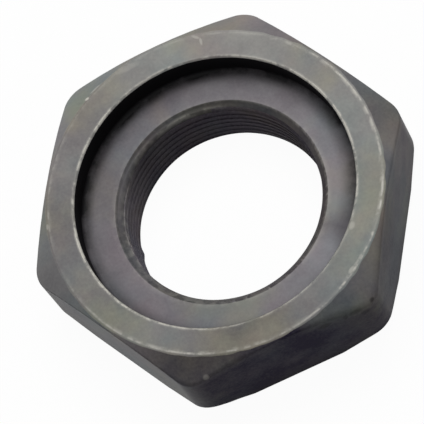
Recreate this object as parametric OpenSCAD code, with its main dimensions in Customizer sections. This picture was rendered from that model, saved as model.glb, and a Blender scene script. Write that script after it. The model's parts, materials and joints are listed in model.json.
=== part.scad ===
// Sprocket nut: a low hexagon nut for the end of a sprocket shaft.
// It stands on its plain seat, with the recessed rim up. The origin is the centre of the seat and
// +Z runs along the bore, towards the rim. Two opposite flats face +Y and -Y.

/* [Hexagon] */
// Distance across two opposite flats
across_flats = 36; // [33:0.5:46]
// Height from the seat to the rim
nut_height = 10.3; // [7:0.1:20]
// Radius that rounds the six upright corners
corner_radius = 2.6; // [0.5:0.1:6]

/* [Corner chamfers] */
// How far the rim's circle lies inside the flats
rim_inset = 0.27; // [0.05:0.01:2]
// How far the seat's circle reaches past the flats
seat_outset = 0.6; // [0.1:0.05:2]
// Slope of the upper chamfers where they leave the rim, in degrees from the plane of the rim
rim_slope = 30.5; // [15:0.5:45]
// Slope of the lower chamfers where they leave the seat, in degrees from the plane of the seat
seat_slope = 33; // [15:0.5:45]

/* [Recess] */
// Diameter of the recess in the rim
recess_d = 29.5; // [24:0.1:33]
// Depth of the recess below the rim
recess_depth = 3.05; // [1:0.05:7]
// Radius between the wall and the floor of the recess
recess_fillet = 0.4; // [0.1:0.05:2]
// Width of the edge break at the mouth of the recess
mouth_chamfer = 0.2; // [0.05:0.05:1.5]

/* [Thread] */
// Nominal diameter of the thread, a fine one whose turns are not cut in this solid
thread_d = 22; // [16:0.5:28]
// Pitch of the thread
thread_pitch = 1; // [0.5:0.25:2]
// How far the lead-in reaches past the thread's nominal radius at the recess floor
lead_in_reach = 0.25; // [0.1:0.05:2]
// Slope of the lead-in, in degrees from the bore axis
lead_in_angle = 45; // [30:1:60]
// Width of the edge break where the bore leaves the seat
seat_break = 0.1; // [0.05:0.05:2]

/* [Hidden] */
$fn = 96;

// Each cutting shape runs this far past the face that it cuts
overrun = 1;

// The corner rounds stand this far proud of the flats before the flats trim them
round_trim = 0.002;

// Depth of a basic metric internal thread, for each millimetre of pitch, on the diameter
thread_depth_ratio = 1.0825;

corner_count = 6;
corner_step = 360 / corner_count;
apothem = across_flats / 2;

// Centres of the corner rounds, on a circle round the bore axis
round_centre_r = (apothem - corner_radius) / cos(corner_step / 2);

rim_r = apothem - rim_inset;
seat_r = apothem + seat_outset;
recess_r = recess_d / 2;
floor_z = nut_height - recess_depth;
bore_r = (thread_d - thread_depth_ratio * thread_pitch) / 2;
lead_in_r = thread_d / 2 + lead_in_reach;
lead_in_depth = (lead_in_r - bore_r) / tan(lead_in_angle);

// Point at a distance and an angle from the bore axis
function polar(r, angle) = [r * cos(angle), r * sin(angle)];

// Regular hexagon with two flats facing +Y and -Y, by the distance from its centre to a flat
module hexagon(flat_distance) {
    circle(r = flat_distance / cos(corner_step / 2), $fn = corner_count);
}

// Outline of the nut: a second hexagon, turned by half a step, cuts off the corners, the rounds
// put back what they lost, and the flats trim the rounds
module nut_outline() {
    intersection() {
        hexagon(apothem);
        union() {
            rotate(corner_step / 2)
                hexagon(round_centre_r + corner_radius * cos(corner_step / 2));
            for (corner = [0:corner_count - 1])
                translate(polar(round_centre_r, corner * corner_step))
                    circle(r = corner_radius + round_trim);
        }
    }
}

// Ball round the bore axis that cuts a face at height 0 in a circle, with a slope at that circle
module crown(circle_r, slope) {
    translate([0, 0, -circle_r / tan(slope)])
        sphere(r = circle_r / sin(slope));
}

// Hexagon blank, chamfered by a slightly crowned cut at each end, so that its flats end in arcs
module chamfered_blank() {
    intersection() {
        linear_extrude(nut_height)
            nut_outline();
        translate([0, 0, nut_height])
            crown(rim_r, rim_slope);
        mirror([0, 0, 1])
            crown(seat_r, seat_slope);
    }
}

// Half section of everything bored out: edge break, recess, lead-in, thread and seat break
module bored_section() {
    polygon([
        [0, -overrun],
        [bore_r + seat_break + overrun, -overrun],
        [bore_r, seat_break],
        [bore_r, floor_z - lead_in_depth],
        [lead_in_r, floor_z],
        [recess_r - recess_fillet, floor_z],
        [recess_r, floor_z + recess_fillet],
        [recess_r, nut_height - mouth_chamfer],
        [recess_r + mouth_chamfer + overrun, nut_height + overrun],
        [0, nut_height + overrun]
    ]);
    translate([recess_r - recess_fillet, floor_z + recess_fillet])
        circle(r = recess_fillet);
}

module sprocket_nut() {
    color("dimgray")
        difference() {
            chamfered_blank();
            rotate_extrude()
                bored_section();
        }
}

sprocket_nut();
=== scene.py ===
# %% [markdown]
# A sprocket nut holds a sprocket on the end of its shaft. This one is a low hexagon nut with a round recess
# in its upper face, a fine thread in its bore and a dark phosphate coat, which is rubbed bare along the
# edges. The solid model gives the sizes. This lesson keeps them, and adds what a solid leaves out: the turns
# of the thread, edges that are broken and worn, and the finish of each face.

# %% The solid model and its sizes
import json

import bmesh
import bpy
import numpy as np
from mathutils import Matrix, Vector


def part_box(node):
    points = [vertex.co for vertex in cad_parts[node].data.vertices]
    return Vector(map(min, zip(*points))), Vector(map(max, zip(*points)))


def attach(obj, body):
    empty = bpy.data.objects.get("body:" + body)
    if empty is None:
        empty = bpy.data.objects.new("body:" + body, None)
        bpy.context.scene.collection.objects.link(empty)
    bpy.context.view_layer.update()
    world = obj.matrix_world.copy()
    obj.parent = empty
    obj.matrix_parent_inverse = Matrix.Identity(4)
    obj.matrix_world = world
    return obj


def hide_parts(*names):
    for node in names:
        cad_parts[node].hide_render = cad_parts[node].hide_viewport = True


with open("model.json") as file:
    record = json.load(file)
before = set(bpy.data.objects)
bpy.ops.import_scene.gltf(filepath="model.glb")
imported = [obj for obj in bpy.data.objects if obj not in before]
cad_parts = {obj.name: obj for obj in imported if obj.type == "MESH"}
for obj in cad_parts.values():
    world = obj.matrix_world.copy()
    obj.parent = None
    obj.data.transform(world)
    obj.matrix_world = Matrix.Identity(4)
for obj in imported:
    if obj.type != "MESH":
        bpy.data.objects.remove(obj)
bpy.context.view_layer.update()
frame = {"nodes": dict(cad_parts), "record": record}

# Sizes in this lesson are in millimetres, and Blender's are in metres
MM = 0.001
TAU = 2 * np.pi

solid_low, solid_high = (np.array(corner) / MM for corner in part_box("sprocket_nut"))
seat_z = solid_low[2]
rim_z = solid_high[2]
corner_reach = solid_high[0]
flat_reach = solid_high[1]
print(f"nut: {2 * flat_reach:.2f} mm across flats, {rim_z - seat_z:.2f} mm high")

# %% [markdown]
# The record lists the places where the nut meets other parts. Its thread and its recess are measured
# there, as a radius and a straight stretch of wall, so the section of the bore can be read from it
# instead of being typed in again. Only the fillet at the recess floor isn't listed.

# %% Sizes of the bore and the recess
RECESS_FILLET = 0.4


def wall_of(mount_name):
    """Radius, lowest and highest height of a bore's straight wall, in millimetres."""
    mount = next(m for m in frame["record"]["mounts"] if m["name"] == mount_name)
    middle = mount["pos_m"][2] / MM
    half = mount["dims"]["length_mm"] / 2
    return mount["dims"]["r_mm"], middle - half, middle + half


bore_r, bore_low, bore_high = wall_of("thread")
recess_r, wall_low, wall_high = wall_of("recess")
floor_z = wall_low - RECESS_FILLET
# The lead-in and the break at the mouth slope at 45 degrees, so they are as wide as they are deep
lead_in_r = bore_r + floor_z - bore_high
mouth_r = recess_r + rim_z - wall_high
print(f"bore {2 * bore_r:.2f} mm, recess {2 * recess_r:.2f} mm, {rim_z - floor_z:.2f} mm deep")

# %% [markdown]
# The camera looks down on the nut from the front and leans to one side, so that the hexagon seems to
# turn on its bore. A long lens keeps the far edge almost as large as the near one. The view is written
# as a photographer would note it: a point to look at, a distance, two angles, a lean and a lens.

# %% Camera
# Lengths in millimetres and angles in degrees
VIEW_AIM = (-1.001, -2.154, rim_z)
VIEW_DISTANCE = 338.97
VIEW_AZIMUTH = 10.211
VIEW_ELEVATION = 64.364
VIEW_LEAN = -34.208
LENS = 283.53
NEAREST_SEEN = 10.0

azimuth, elevation, lean = np.radians((VIEW_AZIMUTH, VIEW_ELEVATION, VIEW_LEAN))
level = np.array((np.cos(azimuth), np.sin(azimuth), 0.0))
forward = np.array((-np.sin(azimuth), np.cos(azimuth), 0.0))
back = np.array((0.0, 0.0, np.sin(elevation))) - np.cos(elevation) * forward
rise = np.cross(back, level)
right = np.cos(lean) * level + np.sin(lean) * rise
up = np.cross(back, right)
eye = (np.array(VIEW_AIM) + VIEW_DISTANCE * back) * MM

camera = bpy.data.objects.new("camera", bpy.data.cameras.new("camera"))
bpy.context.scene.collection.objects.link(camera)
camera.data.lens = LENS
camera.data.clip_start = NEAREST_SEEN * MM
camera.matrix_world = Matrix.Translation(eye) @ Matrix(np.column_stack((right, up, back))).to_4x4()
bpy.context.scene.camera = camera
print("camera at", np.round(eye, 4))

# %% [markdown]
# The outline of the nut is a hexagon with rounded upright corners. Seen from the bore it is one function:
# the distance to the outside at each angle. On a flat that distance is the flat's own distance over the
# cosine of the angle from its middle; near a corner it is the far crossing of the corner's circle.
# The angles are not evenly spaced: each corner gets its own share, so that its round stays round.

# %% Outline of the hexagon
CORNERS = 6
CORNER_COLUMNS = 16
FLAT_COLUMNS = 64

sector = TAU / CORNERS
tip_r = flat_reach / np.cos(sector / 2)
corner_r = (tip_r - corner_reach) / (1 / np.cos(sector / 2) - 1)
corner_centre = corner_reach - corner_r
corner_half = np.arctan2(corner_r * np.sin(sector / 2), corner_centre + corner_r * np.cos(sector / 2))


def outline_reach(angle):
    """Distance from the bore axis to the outline: the flat's distance over the cosine of the angle from
    the flat's middle, or near a corner the far crossing of the circle that rounds it."""
    turn = (angle + sector / 2) % sector - sector / 2
    flat = flat_reach / np.cos(sector / 2 - np.abs(turn))
    inside = corner_r**2 - (corner_centre * np.sin(turn)) ** 2
    rounded = corner_centre * np.cos(turn) + np.sqrt(np.maximum(inside, 0))
    return np.where(np.abs(turn) < corner_half, rounded, flat)


one_sector = np.concatenate((
    np.linspace(-corner_half, corner_half, CORNER_COLUMNS, endpoint=False),
    np.linspace(corner_half, sector - corner_half, FLAT_COLUMNS, endpoint=False),
))
angles = (sector * np.arange(CORNERS)[:, None] + one_sector).ravel()
angles = np.append(angles, angles[0] + TAU)
degrees = np.degrees(angles)
reach = outline_reach(angles)
print(f"outline: {len(angles) - 1} columns, corners rounded by {corner_r:.2f} mm")

# %% [markdown]
# Both ends of the nut are chamfered on a lathe, and the cut is slightly crowned, a zone of a large ball.
# It leaves a circle on the rim and on the seat, and it cuts each flat in an arc. The ball is found from
# the circle and from the slope at which it leaves the face; the circle is measured on the solid. Where the
# seat's circle reaches past a flat there is no chamfer, and a narrow edge break takes its place.

# %% Crowned chamfers
RIM_SLOPE = np.radians(30.5)
SEAT_SLOPE = np.radians(33.0)
EDGE_BREAK = 0.06
# A point of the solid this close to the height of a face lies on that face
ON_FACE = 0.01

solid_mesh = frame["nodes"]["sprocket_nut"].data
solid_points = np.empty(3 * len(solid_mesh.vertices))
solid_mesh.vertices.foreach_get("co", solid_points)
solid_points = solid_points.reshape(-1, 3) / MM
solid_radius = np.hypot(solid_points[:, 0], solid_points[:, 1])
rim_r = solid_radius[solid_points[:, 2] > rim_z - ON_FACE].max()
seat_r = solid_radius[solid_points[:, 2] < seat_z + ON_FACE].max()


def crown_drop(radius, circle_r, slope):
    """How far a ball's surface lies below the face that it cuts: the ball's radius is the circle's over
    the sine of the slope there, and the drop is the difference of the heights at the two radii."""
    ball_r = circle_r / np.sin(slope)
    return np.sqrt(ball_r**2 - circle_r**2) - np.sqrt(ball_r**2 - radius**2)


def rim_crown(radius):
    """Height of the upper chamfer at a radius: the rim's height less the drop."""
    return rim_z - crown_drop(radius, rim_r, RIM_SLOPE)


flat_top = rim_crown(reach)
flat_foot = seat_z + np.maximum(crown_drop(reach, seat_r, SEAT_SLOPE), EDGE_BREAK)
seat_edge = np.minimum(reach - EDGE_BREAK, seat_r)
print(f"chamfers: rim circle {2 * rim_r:.2f} mm, seat circle {2 * seat_r:.2f} mm")

# %% [markdown]
# The bore is cut with a fine metric thread. A screw modifier could sweep its profile, but one function of
# angle and height is enough: a share of a turn and a share of the pitch give the place across the groove,
# and the groove slopes at 30 degrees from either side and ends at the crest, which is the plain bore of the
# solid. Old grease fills the bottom of the groove. Two short cones cut it off, the lead-in at the recess
# and the broken edge at the seat: where they are wider than the thread, they win. At one place on the seat
# a small burr stands into the bore.

# %% Thread in the bore
PITCH = 1.0
# A basic metric thread has this depth, and this flat at its root, for its pitch
THREAD_DEPTH = 0.5413 * PITCH
ROOT_WIDTH = PITCH / 8
FLANK_SLOPE = np.tan(np.radians(30))
# Depth of the groove that the grease leaves open
GREASE_DEPTH = 0.10
# Share of a turn by which the groove starts later
THREAD_START = 0.75
BURR_ANGLE = np.radians(171.5)
BURR_SIZE = 0.20
BURR_WIDTH = 0.60


def bore_wall(angle, height):
    """Radius of the threaded bore. The place across the groove is the height over the pitch less the angle
    over a turn; the wall falls from the root by the distance from it over the flank's slope, stops at the
    grease and at the crest, and gives way to the cone at either end. The burr, a bell of the distance from
    its middle, narrows the bore."""
    place = (height / PITCH - angle / TAU - THREAD_START) % 1
    from_root = np.abs(place - 0.5) * PITCH - ROOT_WIDTH / 2
    groove = np.clip(THREAD_DEPTH - from_root / FLANK_SLOPE, 0, GREASE_DEPTH)
    seat_cone = bore_low - height
    lead_in = height - bore_high
    from_burr = np.hypot((angle - BURR_ANGLE) * bore_r, height - seat_z) / BURR_WIDTH
    return bore_r + np.maximum(groove, np.maximum(seat_cone, lead_in)) - BURR_SIZE * np.exp(-from_burr**2)


print(f"thread: {floor_z / PITCH:.1f} turns, {GREASE_DEPTH:.2f} mm deep above the grease")

# %% [markdown]
# The rows of the grid climb with the thread, a pitch in each turn, so every edge of the groove lies along
# a row, and three rows close together keep each edge crisp. On level rows the edges would come out as
# steps. The rows stop at both faces, where they fold up onto one circle.

# %% Rows of the thread
# Share of the pitch between the rows at an edge of the groove
ROW_GAP = 0.025
# Rows climb a pitch in a turn, so the lowest ones start below the seat
FIRST_TURN = -2

crest_end, grease_end = (0.5 - (ROOT_WIDTH / 2 + fall * FLANK_SLOPE) / PITCH
                         for fall in (THREAD_DEPTH, THREAD_DEPTH - GREASE_DEPTH))
bends = np.array((crest_end, grease_end))[:, None] + np.array((-ROW_GAP, 0, ROW_GAP))
groove_places = np.concatenate(((0,), bends.ravel(), 1 - bends.ravel()[::-1]))
climbs = np.arange(FIRST_TURN, np.ceil(floor_z / PITCH) + 1)
row_starts = (climbs[:, None] + groove_places).ravel() + THREAD_START
bore_heights = np.clip(PITCH * (row_starts[:, None] + angles / TAU), seat_z, floor_z)
used = np.ptp(bore_heights, axis=1) > 0
bore_heights = np.vstack((np.full_like(angles, seat_z), bore_heights[used], np.full_like(angles, floor_z)))
bore_radii = bore_wall(angles, bore_heights)
print(f"thread: {len(bore_heights)} rows, radius {bore_radii.min():.2f} mm at the burr")

# %% [markdown]
# Each edge of a used nut is broken a little, and not evenly: it was knocked here and rubbed there. The
# edges are rounded by true arcs, and a ripple round the nut makes each round wider and narrower. The
# ripple is a sum of waves with whole numbers of turns, so it meets itself at the seam.

# %% Ripple along the edges
RIPPLE_WAVES = 12
RIPPLE_TURNS = (4, 60)
RIPPLE_SEED = 22
random = np.random.default_rng(RIPPLE_SEED)


def edge_ripple():
    """Sum of cosine waves round the nut, with random whole turns and phases, scaled to about -1 to 1."""
    turns = random.integers(*RIPPLE_TURNS, RIPPLE_WAVES)[:, None]
    phases = random.uniform(0, TAU, RIPPLE_WAVES)[:, None]
    waves = np.cos(turns * angles + phases).sum(axis=0)
    return np.clip(waves / np.sqrt(2 * RIPPLE_WAVES), -1, 1)


print(f"ripple: {RIPPLE_WAVES} waves of {RIPPLE_TURNS[0]} to {RIPPLE_TURNS[1] - 1} turns")

# %% [markdown]
# The rest of the half section runs from the top of the lead-in over the recess floor, up its wall, across
# the rim and down the outside to the seat, and back to the bore. It is a list of corners, each with the
# width of its round, joined by straight runs, or by a crowned one on the upper chamfer. The inner corners
# are the same all round and the outer ones follow the hexagon, so a point of the section is a row of
# numbers, one for each angle. What changes round the nut is noted by direction, in degrees from +X.

# %% Corners and runs of the section


def around(radius, height):
    """A section point at every angle: a row of radii over a row of heights."""
    return np.array(np.broadcast_arrays(radius, height, angles)[:2])


def by_direction(pairs):
    """Values at every column, straight between the given directions and round through a full turn."""
    return np.interp(degrees, list(pairs), list(pairs.values()), period=360)


# The shoulder between chamfer and flat is rubbed rounder on the front and on the right
SHOULDER_WIDTHS = {20: 0.12, 215: 0.12, 250: 0.4, 280: 0.6, 315: 0.6, 335: 0.4}

# Each corner: its point, the width of its round and the share of that width that the ripple changes
section_corners = {
    "lead_in_edge": (around(lead_in_r, floor_z), 0.0, 0.0),
    "recess_corner": (around(recess_r, floor_z), RECESS_FILLET, 0.0),
    "mouth_foot": (around(recess_r, wall_high), 0.05, 0.3),
    "mouth_edge": (around(mouth_r, rim_z), 0.07, 0.5),
    "rim_edge": (around(rim_r, rim_z), 0.12, 0.6),
    "shoulder": (around(reach, flat_top), by_direction(SHOULDER_WIDTHS), 0.2),
    "foot": (around(reach, flat_foot), 0.20, 0.3),
    "seat_edge": (around(seat_edge, seat_z), 0.08, 0.3),
    "bore_edge": (around(bore_radii[0], seat_z), 0.0, 0.0),
}
# Each run, from one corner to the next: its name, its rows and the crown that it follows, if any
section_runs = [
    ("recess_floor", 12, None),
    ("recess_wall", 8, None),
    ("mouth", 3, None),
    ("rim", 12, None),
    ("chamfer", 10, rim_crown),
    ("flat", 10, None),
    ("seat_chamfer", 4, None),
    ("seat", 8, None),
]
print(f"section: {len(section_corners)} corners, {len(section_runs)} runs")

# %% [markdown]
# A bevel modifier rounds an edge by one width, but here the width changes along the edge and shrinks to
# nothing where the chamfer runs out on a flat. So each round is worked out as a few rows of its own: it
# starts and ends at its width from the corner, or nearer where a run is short. Rows crowd together near
# the ends of a run, which keeps its shading flat.

# %% Rows of the section
ARC_ROWS = 5
# A round takes at most this share of the run on either side
RUN_SHARE = 0.45


def along(start, end, share, crown):
    """Points at a share of the way between two section points: straight, or at the crown's height."""
    radius = start[0] + (end[0] - start[0]) * share
    height = start[1] + (end[1] - start[1]) * share
    return np.stack((radius, crown(radius) if crown else height), axis=-2)


def corner_arc(before, corner, after):
    """Rows of a true arc from before to after: a rational quadratic curve that is drawn to the corner with
    the cosine of half the turn as its weight."""
    way_in = corner - before
    way_out = after - corner
    lengths = np.linalg.norm(way_in, axis=0) * np.linalg.norm(way_out, axis=0)
    turn_cosine = (way_in * way_out).sum(axis=0) / lengths
    share = np.linspace(0, 1, ARC_ROWS)[1:-1, None, None]
    pull = 2 * share * (1 - share) * np.sqrt((1 + turn_cosine) / 2)
    total = (1 - share) ** 2 + pull + share**2
    return ((1 - share) ** 2 * before + pull * corner + share**2 * after) / total


points = [point for point, _, _ in section_corners.values()]
lengths = [np.linalg.norm(end - start, axis=0) for start, end in zip(points, points[1:])]
rounds = [width * (1 + change * edge_ripple()) for _, width, change in section_corners.values()]
for corner in range(1, len(points) - 1):
    room = RUN_SHARE * np.minimum(lengths[corner - 1], lengths[corner])
    rounds[corner] = np.minimum(rounds[corner], room)

run_rows = []
for place, (_, rows, crown) in enumerate(section_runs):
    crowded = 0.5 - 0.5 * np.cos(np.linspace(0, np.pi, rows))[:, None]
    first = rounds[place] / lengths[place]
    last = 1 - rounds[place + 1] / lengths[place]
    run_rows.append(along(points[place], points[place + 1], first + (last - first) * crowded, crown))

# A round belongs to the run before it
run_names = [name for name, _, _ in section_runs]
section_rows = [run_rows[0]]
strip_names = [run_names[0]] * len(run_rows[0])
for place in range(1, len(run_rows)):
    arc = corner_arc(run_rows[place - 1][-1], points[place], run_rows[place][0])
    section_rows += [arc, run_rows[place]]
    strip_names += [run_names[place - 1]] * len(arc)
    strip_names += [run_names[place]] * len(run_rows[place])
section_rows = np.concatenate(section_rows)
print(f"section: {len(section_rows)} rows, rounds from {min(r.min() for r in rounds[1:-1]):.3f} mm")

# %% [markdown]
# The coat is rubbed pale along the edges, most of all at the mouth of the recess and on the outer edge of
# the rim, and dirt has settled at the top and the foot of the lead-in. One wide pale line high on the bore
# wall is painted light, where the lamp shines into the bore. An edge detector in the material would rub all
# edges alike. Here the mesh carries the wear and that painted light as an attribute: it is 1 on a line,
# falls to 0 a short way from it, and is scaled by its strength in each direction.

# %% Worn, lit and dirty lines
# A line fades out between 0.5 and this many times its half width
LINE_END = 1.5
# Each line: its place, its half width, and its strength by direction
WORN_AND_LIT_LINES = [
    (around(mouth_r - 0.05, rim_z), 0.14,
     {0: 0.8, 15: 0.9, 40: 0.5, 105: 0.45, 125: 0.9, 150: 0.6, 175: 1.0, 215: 0.6, 240: 0.5, 260: 0.25,
      290: 0.3, 310: 0.2, 330: 0.6}),
    (around(rim_r - 0.2, rim_z), 0.11,
     {0: 0.5, 15: 0.6, 30: 0.4, 60: 0.15, 110: 0.1, 165: 0.2, 180: 0.0, 210: 0.3, 240: 0.5, 260: 0.3,
      280: 0.3, 297: 0.55, 318: 0.65, 345: 0.5}),
    (around(bore_r + 0.22, bore_high + 0.22), 0.28,
     {60: 0.0, 90: 0.35, 120: 0.4, 150: 0.35, 185: 0.3, 205: 0.1, 300: 0.0}),
    # Painted light: a wide pale patch high on the bore wall, where the lamp shines into the bore
    (around(bore_r, bore_high - 0.4), 0.80, {135: 0.0, 150: 0.1, 165: 0.2, 185: 0.2, 215: 0.0}),
    (around(lead_in_r, floor_z), 0.25, {0: 0.12, 60: 0.05, 210: 0.1, 330: 0.12}),
]
DIRTY_LINES = [
    (around(lead_in_r - 0.12, floor_z - 0.12), 0.15, {60: 0.3, 110: 0.35, 180: 0.4, 200: 0.2, 300: 0.1}),
    (around(bore_r, bore_high - 0.15), 0.16, {50: 0.7, 110: 0.6, 140: 0.5, 155: 0.0, 300: 0.1}),
]

grid_radii = np.vstack((bore_radii, section_rows[:, 0]))
grid_heights = np.vstack((bore_heights, section_rows[:, 1]))
row_names = np.array(["thread"] * len(bore_radii) + strip_names)


def on_lines(lines):
    """The largest, over the lines, of a line's strength in a direction times 1 on it, which falls to 0 from
    a half to one and a half of its half width away."""
    total = np.zeros_like(grid_radii)
    for (line_radius, line_height), half_width, strengths in lines:
        distance = np.hypot(grid_radii - line_radius, grid_heights - line_height)
        total = np.maximum(total, by_direction(strengths) * np.clip(LINE_END - distance / half_width, 0, 1))
    return total


wear_and_light = on_lines(WORN_AND_LIT_LINES)
print(f"wear on {np.mean(wear_and_light > 0):.1%} of the points")

# %% [markdown]
# A second attribute says how pale the coat of a broad face is in each direction, from 0 to 1. It is partly
# the coat's own tone and partly painted light and shade. Faces that turn toward the lamp, the flat toward
# 210 degrees with a painted sheen, and a lit zone high in the bore are painted paler. Faces in shade are
# painted darker: the far wall of the recess, and most of all the front flat. At the shoulder the tone of the
# chamfer fades into that of the flat below it.

# %% Tone of the coat, with painted light and shade
# Each face: its tone by direction, which paints light and shade: paler where it faces the lamp or shows a
# sheen, darker in shade; a face that isn't named has a middle tone
FACE_TONES_AND_LIGHT = {
    "rim": {0: 0.7, 75: 0.78, 120: 0.53, 150: 0.45, 180: 0.3, 225: 0.6, 255: 0.3, 300: 0.5, 325: 0.85},
    "recess_wall": {20: 0.0, 210: 0.0, 255: 0.8, 315: 0.8},
    "recess_floor": {0: 0.7, 20: 0.6, 45: 0.47, 120: 0.33, 180: 0.45, 240: 0.62, 265: 0.75, 294: 0.65,
                     302: 1.0, 311: 1.0, 321: 0.35, 331: 1.0, 345: 1.0},
    "chamfer": {0: 0.5, 20: 0.52, 60: 0.82, 120: 0.95, 165: 0.8, 195: 0.66, 215: 0.55, 235: 0.36, 250: 0.33,
                262: 0.18, 277: 0.1, 285: 0.42, 292: 0.48, 300: 0.58, 315: 0.6, 335: 0.6, 345: 0.68},
    "flat": {30: 0.4, 150: 0.4, 208: 0.5, 235: 0.45, 245: 0.08, 280: 0.08, 297: 0.15, 303: 0.25, 326: 0.28,
             337: 0.42, 350: 0.4},
    "lead_in": {60: 0.4, 150: 0.8, 215: 0.2, 270: 0.0, 330: 0.1},
    "thread": {60: 0.5, 90: 0.38, 125: 0.3, 150: 0.95, 170: 0.7, 200: 0.5},
}
PLAIN_TONE_AND_LIGHT = {0: 0.5}
# The fade at the shoulder starts this far past it, counted outwards and down, and ends here
FADE_START = -0.1
FADE_END = 1.2

# Painted light and shade by direction, mixed with the coat's own tone
tone_and_light = np.array([by_direction(FACE_TONES_AND_LIGHT.get(name, PLAIN_TONE_AND_LIGHT)) for name in row_names])
shoulder_radius, shoulder_height = section_corners["shoulder"][0]
past_shoulder = grid_radii - shoulder_radius + shoulder_height - grid_heights
flat_share = np.interp(past_shoulder, (FADE_START, FADE_END), (0, 1))
chamfer_tone_and_light, flat_tone_and_light = (by_direction(FACE_TONES_AND_LIGHT[name]) for name in ("chamfer", "flat"))
on_outside = np.isin(row_names, ("chamfer", "flat"))[:, None]
tone_and_light = np.where(on_outside, chamfer_tone_and_light + (flat_tone_and_light - chamfer_tone_and_light) * flat_share, tone_and_light)
on_lead_in = (row_names == "thread")[:, None] & (grid_heights >= bore_high)
tone_and_light = np.where(on_lead_in, by_direction(FACE_TONES_AND_LIGHT["lead_in"]), tone_and_light)
print(f"tone from {tone_and_light.min():.2f} to {tone_and_light.max():.2f}")

# %% [markdown]
# A third attribute darkens the coat. It holds painted shade in the corner of the recess, which spreads over
# the floor in some directions, grease in the thread, dirt along the dirty lines, and a painted contact
# shadow at the foot of the flats, most of all the front one.

# %% Grime and painted shade
# On the recess floor, painted shade beside the wall: the radius at which it starts, by direction, the one at
# which it is full, and its strength there, by direction
CORNER_SHADE_STARTS = {10: 12.9, 30: 13.3, 310: 13.3, 320: 12.0, 340: 12.3}
CORNER_SHADE_FULL = 14.6
CORNER_SHADE_STRENGTHS = {0: 0.8, 75: 1.0, 135: 1.0, 180: 0.7, 300: 0.6, 340: 0.9}
THREAD_GRIME = 0.35
# How far up a flat the painted shadow at its foot reaches
FOOT_SHADOW_HEIGHT = 0.7
FOOT_SHADOW_STRENGTHS = {60: 0.3, 180: 0.3, 235: 0.0, 255: 0.6, 310: 0.6, 330: 0.2}

corner_shade_start = by_direction(CORNER_SHADE_STARTS)
# Painted shade on the recess floor next to the wall
toward_wall = np.clip((grid_radii - corner_shade_start) / (CORNER_SHADE_FULL - corner_shade_start), 0, 1)
in_corner = np.isin(row_names, ("recess_floor", "recess_wall"))[:, None]
grime_and_shade = np.where(in_corner, by_direction(CORNER_SHADE_STRENGTHS) * toward_wall, 0)
# Painted contact shadow at the foot of the flats, strongest at the front
at_foot = np.clip(1 - (grid_heights - flat_foot) / FOOT_SHADOW_HEIGHT, 0, 1)
grime_and_shade = np.where(row_names[:, None] == "flat", by_direction(FOOT_SHADOW_STRENGTHS) * at_foot, grime_and_shade)
in_thread = (row_names == "thread")[:, None] & ~on_lead_in
grime_and_shade = np.maximum(np.where(in_thread, THREAD_GRIME, grime_and_shade), on_lines(DIRTY_LINES))
print(f"grime on {np.mean(grime_and_shade > 0):.1%} of the points")

# %% [markdown]
# The grid becomes faces: every point is turned round the bore axis by its angle, and every four neighbours
# make a face. Each face takes the finish of its run, and in the bore the lead-in starts where the straight
# wall ends.

# %% Faces and their finishes
FINISHES = {
    "thread": "thread",
    "lead_in": "lead_in",
    "recess_floor": "recess",
    "recess_wall": "recess_wall",
    "mouth": "rim",
    "rim": "rim",
    "chamfer": "outside",
    "flat": "outside",
    "seat_chamfer": "outside",
    "seat": "rim",
}
finish_names = sorted(set(FINISHES.values()))
finish_index = {name: finish_names.index(finish) for name, finish in FINISHES.items()}

row_count, column_count = grid_radii.shape
vertices = np.stack((grid_radii * np.cos(angles), grid_radii * np.sin(angles), grid_heights), axis=-1) * MM
index = np.arange(row_count * column_count).reshape(row_count, column_count)
quads = np.stack((index[:-1, :-1], index[1:, :-1], index[1:, 1:], index[:-1, 1:]), axis=-1).reshape(-1, 4)

row_finish = np.array([finish_index[name] for name in row_names[:-1]])[:, None]
middle_height = (grid_heights[:-1, :-1] + grid_heights[1:, 1:]) / 2
above_thread = (row_names[:-1, None] == "thread") & (middle_height > bore_high)
face_finish = np.where(above_thread, finish_index["lead_in"], row_finish)
print(f"grid: {row_count} rows, {column_count} columns, {len(quads)} faces")

# %% [markdown]
# The last column lies on the first one and the last row on the first one, and the rows of the thread fold
# up at its ends, so points that coincide are merged, which closes the surface. The finished nut then
# replaces the solid, which stays behind it for what is weighed and touched.

# %% Mesh of the nut
MERGE_DISTANCE = 0.001

nut_mesh = bpy.data.meshes.new("sprocket_nut_finished")
nut_mesh.from_pydata(vertices.reshape(-1, 3), [], quads)
nut_mesh.polygons.foreach_set("material_index", face_finish.ravel())
# The tone attribute holds painted light and shade, the wear one also a painted light patch in the bore, and
# the grime one also painted shade in the recess and at the foot of the flats
for name, values in (("wear_and_light", wear_and_light), ("tone_and_light", tone_and_light), ("grime_and_shade", grime_and_shade)):
    nut_mesh.attributes.new(name, "FLOAT", "POINT").data.foreach_set("value", values.ravel())

welded = bmesh.new()
welded.from_mesh(nut_mesh)
bmesh.ops.remove_doubles(welded, verts=welded.verts, dist=MERGE_DISTANCE * MM)
bmesh.ops.recalc_face_normals(welded, faces=welded.faces)
open_edges = sum(not edge.is_manifold for edge in welded.edges)
welded.to_mesh(nut_mesh)
welded.free()
nut_mesh.shade_smooth()

nut = bpy.data.objects.new("sprocket_nut_finished", nut_mesh)
bpy.context.scene.collection.objects.link(nut)
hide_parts("sprocket_nut")
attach(nut, "root")
triangles = sum(len(face.vertices) - 2 for face in nut_mesh.polygons)
print(f"nut: {triangles} triangles, {open_edges} open edges")

# %% [markdown]
# Materials are built from nodes. A few small helpers are enough: one turns a colour as a screen shows it
# into the linear light that a shader works with, one adds a node, sets it and links what feeds it, and one
# turns the size of a feature into a texture's scale.

# %% Colour and node helpers
# Sockets of a Mix node that is set to colours, which share their names with the ones for numbers
MIX_A, MIX_B, MIX_RESULT = 6, 7, 2


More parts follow.
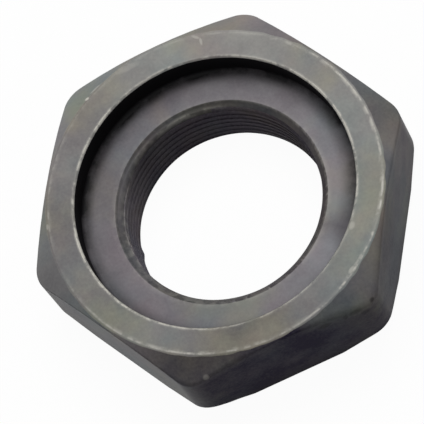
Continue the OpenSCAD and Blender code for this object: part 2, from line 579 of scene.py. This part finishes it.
def linear(hex_colour):
    """Linear colour of an sRGB hex value: a channel over 0.04045 is shifted, scaled and raised to 2.4, and
    a darker one is divided by 12.92."""
    channels = np.array([int(hex_colour[place:place + 2], 16) for place in (1, 3, 5)]) / 255
    light = np.where(channels > 0.04045, ((channels + 0.055) / 1.055) ** 2.4, channels / 12.92)
    return (*light, 1.0)


def add_node(tree, kind, inputs, **settings):
    """Add a node with its settings. Inputs give each socket a value, or the output that is linked to it."""
    node = tree.nodes.new(kind)
    for name, value in settings.items():
        setattr(node, name, value)
    for name, value in inputs.items():
        if isinstance(value, bpy.types.NodeSocket):
            tree.links.new(value, node.inputs[name])
        else:
            node.inputs[name].default_value = value
    return node


def per_metre(size_mm):
    """How many features of a size fit in a metre, which is a texture's scale on coordinates in metres."""
    return 1 / (size_mm * MM)


print("middle grey in linear light:", round(float(linear("#808080")[0]), 3))

# %% [markdown]
# Use has left small marks: spots and a scratch where the coat is rubbed through, and a few dark smudges
# below the shoulder of the front flat. Each one is an ellipsoid with its middle on the surface: a texture
# that is strong round its middle and fades to 0 at its skin. Painting them on an image would need a map of
# the whole nut; a dozen ellipsoids need only their places.

# %% Marks
# Each mark: direction in degrees, radius, half length and half width, turn from the radius, strength.
# A radius past the outline runs on down the flat.
PALE_MARKS = [
    (118.2, 17.85, 0.32, 0.24, 60, 0.9),
    (114.0, 17.95, 0.90, 0.14, 85, 0.4),
    (101.0, 17.30, 1.80, 0.45, 80, 0.2),
    (75.1, 17.45, 0.60, 0.20, 60, 0.4),
    (73.3, 16.85, 0.55, 0.18, 10, 0.4),
    (245.6, 19.70, 0.50, 0.40, 0, 0.25),
    (318.7, 15.20, 0.55, 0.40, 90, 0.4),
    (303.7, 17.35, 0.60, 0.30, 90, 0.45),
    (166.3, 17.75, 0.40, 0.18, 90, 0.4),
]
DARK_MARKS = [
    (285.0, 19.80, 0.80, 0.65, 75, 0.5),
    (291.4, 20.25, 0.40, 0.60, 69, 0.4),
    (294.3, 20.35, 0.95, 0.55, 66, 0.4),
    (296.8, 21.40, 0.60, 0.60, 63, 0.4),
    (300.2, 20.45, 0.40, 0.40, 0, 0.5),
]
# A mark has its full strength within this share of its size
MARK_CORE = 0.5


def with_marks(tree, place, marks, share):
    """The share, or the strength of a mark where that is more. A mark's strength holds over the core of its
    ellipsoid and falls straight to 0 at its skin. Its middle lies on the rim or the chamfer at its radius,
    or as far down the flat as the radius runs past the outline."""
    for direction, radius, length, width, turn, strength in marks:
        angle = np.radians(direction)
        mark_r = min(radius, outline_reach(angle))
        height = rim_crown(max(mark_r, rim_r)) - (radius - mark_r)
        centre = (mark_r * np.cos(angle) * MM, mark_r * np.sin(angle) * MM, height * MM)
        local = add_node(tree, "ShaderNodeMapping", {"Vector": place, "Location": centre,
                         "Rotation": (0.0, 0.0, angle + np.radians(turn)),
                         "Scale": (length * MM, width * MM, width * MM)}, vector_type="TEXTURE")
        ball = add_node(tree, "ShaderNodeTexGradient", {"Vector": local.outputs["Vector"]},
                        gradient_type="SPHERICAL")
        mark = add_node(tree, "ShaderNodeMapRange", {"Value": ball.outputs["Fac"],
                        "From Max": 1 - MARK_CORE, "To Max": strength})
        share = add_node(tree, "ShaderNodeMath", {0: share, 1: mark.outputs["Result"]},
                         operation="MAXIMUM").outputs["Value"]
    return share


print(f"marks: {len(PALE_MARKS)} pale, {len(DARK_MARKS)} dark")

# %% [markdown]
# The nut is carbon steel with a manganese phosphate coat, grown in a hot bath and then oiled. The coat is a
# layer of fine crystals of a salt, not of metal: matt, dark grey, and uneven, with faint tints of olive,
# blue-green and violet where the oil dried. One colour with a little noise would look like paint. Here the
# tone of the face, which holds painted light and shade, is moved by clouds and crystals, and the oil's tints
# are laid over that.

# %% Colour of the coat
# Patterns by the size of their features in millimetres. Real crystals are 0.03 mm wide at most, too fine to
# show, so they are drawn ten times coarser.
CLOUDS = {"Scale": per_metre(3.5), "Detail": 6.0, "Roughness": 0.6}
STAINS = {"Scale": per_metre(7.0), "Detail": 3.0}
CRYSTALS = {"Scale": per_metre(0.30), "Detail": 3.0}
# Nearly all of a noise lies between these values
NOISE_SPREAD = {"From Min": 0.3, "From Max": 0.7}
# Oil stains cover the places where their noise is high, with a soft edge
STAIN_EDGE = {"From Min": 0.45, "From Max": 0.65}
# Crystals move the tone by this share of what clouds do
CRYSTAL_SHARE = 0.33
# Olive, blue-green and violet, as tints that the coat is multiplied by
OIL_TINTS = ("#fffbe8", "#effdff", "#fff7fa")


def coat_colour(tree, place, clouds, crystals, deep, pale, uneven, seed):
    """Colour between deep and pale by the tone attribute, which holds painted light and shade, plus the
    clouds and a share of the crystals, each spread over plus and minus uneven, multiplied by the tint of
    each oil stain."""
    paleness = add_node(tree, "ShaderNodeAttribute", {}, attribute_name="tone_and_light").outputs["Fac"]
    for pattern, change in ((clouds, uneven), (crystals, uneven * CRYSTAL_SHARE)):
        shift = add_node(tree, "ShaderNodeMapRange", {**NOISE_SPREAD, "Value": pattern, "To Min": -change,
                         "To Max": change})
        paleness = add_node(tree, "ShaderNodeMath", {0: paleness, 1: shift.outputs["Result"]},
                            operation="ADD").outputs["Value"]
    colour = add_node(tree, "ShaderNodeMix", {"Factor": paleness, MIX_A: linear(deep), MIX_B: linear(pale)},
                      data_type="RGBA").outputs[MIX_RESULT]
    for layer, tint in enumerate(OIL_TINTS):
        stains = add_node(tree, "ShaderNodeTexNoise", {**STAINS, "Vector": place,
                          "W": seed + layer / len(OIL_TINTS)}, noise_dimensions="4D")
        stained = add_node(tree, "ShaderNodeMapRange", {**STAIN_EDGE, "Value": stains.outputs["Fac"]})
        colour = add_node(tree, "ShaderNodeMix", {"Factor": stained.outputs["Result"], MIX_A: colour,
                          MIX_B: linear(tint)}, data_type="RGBA", blend_type="MULTIPLY").outputs[MIX_RESULT]
    return colour


print(f"coat: {len(OIL_TINTS)} oil tints")

# %% [markdown]
# Dirt and painted shade, and rubbing and painted light, lie over the coat. The attributes say where, and
# noise breaks them up: a worn edge shows as a row of dashes, because only the high places were touched, and
# dirt and painted shade lie in smears.

# %% Dirty, shaded, rubbed and lit places
RUBBED_PATCHES = {"Scale": per_metre(0.9), "Detail": 3.0}
# Wear and grime are multiplied by To Min where their noise is low and by To Max where it is high
PATCH_EDGE = {"From Min": 0.42, "From Max": 0.58, "To Min": 0.3, "To Max": 1.6}
SMEARS = {"To Min": 0.5, "To Max": 1.7}


def dirty_and_shaded_places(tree, place, clouds, marks):
    """Share of dirt and painted shade: the grime attribute times smears that follow the clouds, or a dark
    mark's strength.
    """
    grime_and_shade_share = add_node(tree, "ShaderNodeAttribute", {}, attribute_name="grime_and_shade").outputs["Fac"]
    smears = add_node(tree, "ShaderNodeMapRange", {**NOISE_SPREAD, **SMEARS, "Value": clouds})
    dirt_and_shade = add_node(tree, "ShaderNodeMath", {0: grime_and_shade_share, 1: smears.outputs["Result"]},
                    operation="MULTIPLY").outputs["Value"]
    return with_marks(tree, place, marks, dirt_and_shade)


def rubbed_and_lit_places(tree, place, marks):
    """Share of burnished coat and painted light: the wear attribute times patches, 1 at most, or a pale
    mark's strength.
    """
    wear_and_light_share = add_node(tree, "ShaderNodeAttribute", {}, attribute_name="wear_and_light").outputs["Fac"]
    patches = add_node(tree, "ShaderNodeTexNoise", {**RUBBED_PATCHES, "Vector": place})
    patchy = add_node(tree, "ShaderNodeMapRange", {**PATCH_EDGE, "Value": patches.outputs["Fac"]})
    rubbed_and_lit = add_node(tree, "ShaderNodeMath", {0: wear_and_light_share, 1: patchy.outputs["Result"]},
                      operation="MULTIPLY", use_clamp=True).outputs["Value"]
    return with_marks(tree, place, marks, rubbed_and_lit)


print(f"rubbed patches about {1 / (RUBBED_PATCHES['Scale'] * MM):.1f} mm wide")

# %% [markdown]
# The crystals scatter the light, so the coat reflects far less than a smooth film would, and its specular
# level is low. Where it is rubbed, the crystals are crushed flat and look pale and smoother. Every face has
# this coat, but not the same amount of oil, rubbing and painted light and shade, so one function makes each
# finish from a few values.

# %% Phosphate finish
CRYSTAL_HEIGHT = 0.010
# Crushed crystals over steel: a warm pale grey with a dull shine, also the colour of the painted light in
# the bore
BURNISHED_AND_LIT = linear("#c4c1b8")
BURNISHED_ROUGHNESS = 0.40
# Old oil with dust in it, and painted shade: nearly black
GRIME_AND_SHADE = linear("#0d0c0e")


def phosphate_finish(name, deep, pale, uneven, roughness, specular, seed, pale_marks=(), dark_marks=()):
    """A phosphate coat on steel: its colour under dirt and painted shade, and then under burnished places
    and painted light, with crystals as relief, and a roughness that goes to the burnished one by the share
    that is rubbed, painted light included."""
    material = bpy.data.materials.new(name)
    material.use_nodes = True
    tree = material.node_tree
    shader = tree.nodes["Principled BSDF"]
    place = add_node(tree, "ShaderNodeTexCoord", {}).outputs["Object"]
    clouds = add_node(tree, "ShaderNodeTexNoise", {**CLOUDS, "Vector": place, "W": seed},
                      noise_dimensions="4D").outputs["Fac"]
    crystals = add_node(tree, "ShaderNodeTexNoise", {**CRYSTALS, "Vector": place}).outputs["Fac"]

    colour = coat_colour(tree, place, clouds, crystals, deep, pale, uneven, seed)
    rubbed_and_lit = rubbed_and_lit_places(tree, place, pale_marks)
    for share, cover in ((dirty_and_shaded_places(tree, place, clouds, dark_marks), GRIME_AND_SHADE), (rubbed_and_lit, BURNISHED_AND_LIT)):
        colour = add_node(tree, "ShaderNodeMix", {"Factor": share, MIX_A: colour, MIX_B: cover},
                          data_type="RGBA").outputs[MIX_RESULT]
    gloss = add_node(tree, "ShaderNodeMapRange", {"Value": rubbed_and_lit, "To Min": roughness,
                     "To Max": BURNISHED_ROUGHNESS})
    relief = add_node(tree, "ShaderNodeBump", {"Height": crystals, "Strength": 1.0,
                      "Distance": CRYSTAL_HEIGHT * MM})

    shader.inputs["Specular IOR Level"].default_value = specular
    tree.links.new(colour, shader.inputs["Base Color"])
    tree.links.new(gloss.outputs["Result"], shader.inputs["Roughness"])
    tree.links.new(relief.outputs["Normal"], shader.inputs["Normal"])
    return material


print(f"crystals {CRYSTAL_HEIGHT * 1000:.0f} micrometres high")

# %% [markdown]
# The faces differ as they were made and used, and by the light and shade painted into them. The turned rim
# and recess are a middle grey, and the outside of the hexagon goes from grey on its chamfers to almost black
# on its flats, darkest in the painted shade of the front flat. The thread holds the most oil, and the back
# of the recess wall is painted black with shade.

# %% Finish of each face
MARKS = (PALE_MARKS, DARK_MARKS)
# Each finish: its name, deepest and palest colour, unevenness, roughness, specular level and seed
finishes = {
    # Turned and coated: an even olive grey with a soft sheen
    "rim": phosphate_finish("phosphated_rim", "#605d60", "#92918d", 0.25, 0.55, 0.12, 1.0, *MARKS),
    # The same coat, a little darker as painted shade inside the recess, with a touch of violet
    "recess": phosphate_finish("phosphated_recess", "#5f5b60", "#8b888b", 0.25, 0.55, 0.12, 8.93),
    # Painted shade: black at the back, where no light reaches it, and paler on the near side
    "recess_wall": phosphate_finish("recess_wall_painted_shade", "#080708", "#5a585b", 0.02, 0.6, 0.04, 3.0),
    # A dark cone that shows its turned edges
    "lead_in": phosphate_finish("phosphated_lead_in", "#3a373b", "#79767a", 0.2, 0.5, 0.10, 4.0),
    # Coat under old grease: dull and blotchy
    "thread": phosphate_finish("greased_thread", "#3d3640", "#85808a", 0.4, 0.6, 0.03, 5.0),
    # Coat on the smooth flats of the bar: violet black where the painted shade is deepest, and paler at a
    # glancing look
    "outside": phosphate_finish("phosphated_outside", "#181028", "#8a8988", 0.13, 0.34, 0.009, 6.0, *MARKS),
}
for name in finish_names:
    nut_mesh.materials.append(finishes[name])
print("finishes:", ", ".join(finish_names))

# %% [markdown]
# The nut lies on a pale floor. To the camera, and in reflections, the floor is nearly plain white, and a
# small share of its own shading stays, so that the nut keeps its shadow. For the light that falls on the
# nut it is just a pale sheet, because a floor that glows would light the nut from below.

# %% Floor
FLOOR_SIZE = 3000.0
# The floor lies this far below the seat, so that the two don't share a plane
FLOOR_GAP = 0.01
FLOOR_WHITE = 0.96
FLOOR_COLOUR = linear("#f0f0f0")
WHITE = linear("#ffffff")


def seen_white(tree):
    """1 for rays from the camera and for reflected and refracted rays, 0 for light that falls on things."""
    ray = add_node(tree, "ShaderNodeLightPath", {})
    seen = ray.outputs["Is Camera Ray"]
    for kind in ("Is Glossy Ray", "Is Transmission Ray"):
        seen = add_node(tree, "ShaderNodeMath", {0: seen, 1: ray.outputs[kind]},
                        operation="MAXIMUM").outputs["Value"]
    return seen


floor_material = bpy.data.materials.new("pale_floor")
floor_material.use_nodes = True
tree = floor_material.node_tree
tree.nodes.remove(tree.nodes["Principled BSDF"])
paper = add_node(tree, "ShaderNodeBsdfDiffuse", {"Color": FLOOR_COLOUR})
glow = add_node(tree, "ShaderNodeEmission", {"Color": WHITE, "Strength": 1.0})
share = add_node(tree, "ShaderNodeMath", {0: seen_white(tree), 1: FLOOR_WHITE}, operation="MULTIPLY")
mixed = add_node(tree, "ShaderNodeMixShader", {0: share.outputs["Value"], 1: paper.outputs["BSDF"],
                 2: glow.outputs["Emission"]})
tree.links.new(mixed.outputs["Shader"], tree.nodes["Material Output"].inputs["Surface"])

side = FLOOR_SIZE / 2 * MM
floor_height = (seat_z - FLOOR_GAP) * MM
floor_mesh = bpy.data.meshes.new("floor")
floor_corners = [(x * side, y * side, floor_height) for x, y in ((-1, -1), (1, -1), (1, 1), (-1, 1))]
floor_mesh.from_pydata(floor_corners, [], [(0, 1, 2, 3)])
floor_mesh.materials.append(floor_material)
floor = bpy.data.objects.new("floor", floor_mesh)
bpy.context.scene.collection.objects.link(floor)
print(f"floor {FLOOR_SIZE / 1000:.0f} m wide")

# %% [markdown]
# The sky gives a little light from all round, which keeps the shaded flats from going black. It is seen as
# plain white in the same way as the floor, so the two meet without a horizon.

# %% Sky
SKY_LEVEL = 0.20

world = bpy.data.worlds.new("soft_sky")
bpy.context.scene.world = world
world.use_nodes = True
tree = world.node_tree
sky = tree.nodes["Background"]
sky.inputs["Color"].default_value = WHITE
sky.inputs["Strength"].default_value = SKY_LEVEL
backdrop = add_node(tree, "ShaderNodeBackground", {"Color": WHITE, "Strength": 1.0})
mixed = add_node(tree, "ShaderNodeMixShader", {0: seen_white(tree), 1: sky.outputs["Background"],
                 2: backdrop.outputs["Background"]})
tree.links.new(mixed.outputs["Shader"], tree.nodes["World Output"].inputs["Surface"])
print(f"sky at {SKY_LEVEL}")

# %% [markdown]
# One broad lamp stands high up, behind the nut and a little to the right, as a soft box in a studio would.
# From there the rim is bright, and the near flats and the far wall of the recess fall into shade. A small
# lamp would draw hard shadows, and a lamp at the camera would flatten the recess.

# %% Key lamp
KEY_DIRECTION = (0.15, 0.42, 0.90)
KEY_DISTANCE = 400.0
KEY_WIDTH = 340.0
KEY_LEVEL = 0.80

key_way = Vector(KEY_DIRECTION).normalized()
lamp = bpy.data.lights.new("key", "AREA")
lamp.shape = "DISK"
lamp.size = KEY_WIDTH * MM
# With this power, a white surface that faces up under the lamp shows at the level asked for
lamp.energy = KEY_LEVEL * np.pi**2 * (KEY_DISTANCE * MM) ** 2 / key_way.z
key = bpy.data.objects.new("key", lamp)
key.location = key_way * KEY_DISTANCE * MM
key.rotation_mode = "QUATERNION"
key.rotation_quaternion = key_way.to_track_quat("Z", "Y")
bpy.context.scene.collection.objects.link(key)
bpy.context.scene.view_settings.view_transform = "Standard"
print(f"key lamp {lamp.energy:.2f} W")
